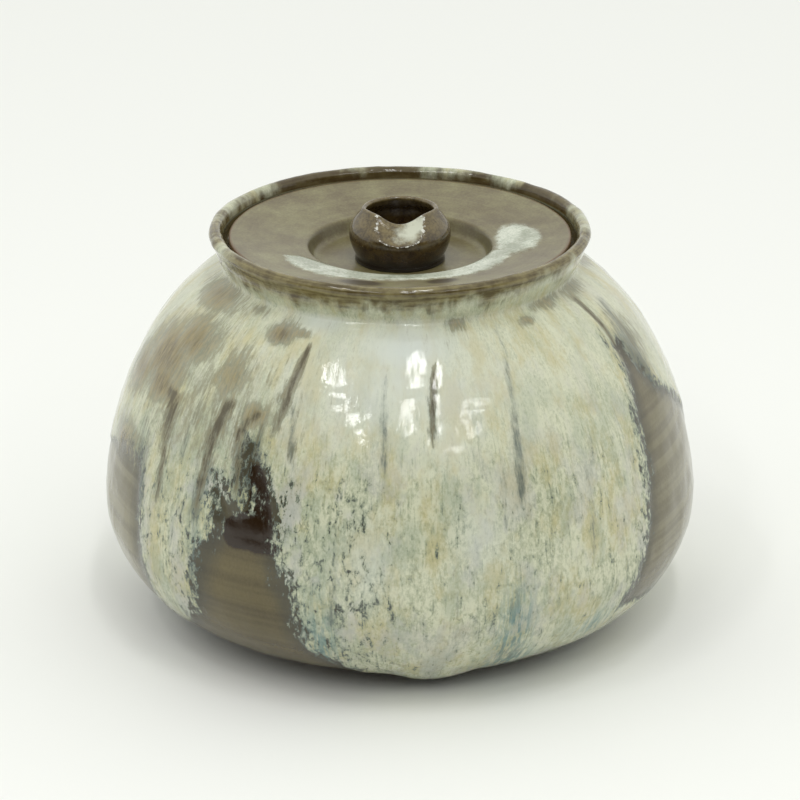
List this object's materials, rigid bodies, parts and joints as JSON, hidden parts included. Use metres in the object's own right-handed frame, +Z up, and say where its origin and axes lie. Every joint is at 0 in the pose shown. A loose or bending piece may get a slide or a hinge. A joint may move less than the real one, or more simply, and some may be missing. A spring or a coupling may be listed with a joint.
{
  "type": "lidded water jar",
  "caption": "Squat wide-bellied stoneware water jar under a poured ash glaze, with a flared collar, a drop-in dished lid and a hollow knob with a thumb-pressed mouth.",
  "frame": {"origin": "on the floor, on the axis of the wheel, in the middle of the foot ring", "axes": "+Z up along the axis of the wheel; -Y towards the front, where the knob's mouth is pressed in"},
  "size_m": [0.1954, 0.1954, 0.1377],
  "materials": {
    "ash_glaze": "glossy straw-ash glaze run over a dark iron glaze",
    "rim_glaze": "glossy olive-brown glaze, thin over the lip",
    "bare_clay": "matt unglazed stoneware, turned",
    "lid_glaze": "satin grey-brown glaze with poured pale splashes",
    "knob_glaze": "glossy dark iron-brown glaze with one pale patch"
  },
  "bodies": {
    "jar": {"jar_body": "ash_glaze", "neck_rim": "rim_glaze", "foot_ring": "bare_clay"},
    "lid": {"lid_plate": "lid_glaze", "lid_knob": "knob_glaze"}
  },
  "joints": [
    {"name": "lid_lift", "type": "slide", "parent": "jar", "child": "lid", "axis": [0, 0, 1], "range_m": [0, 0.12]}
  ]
}
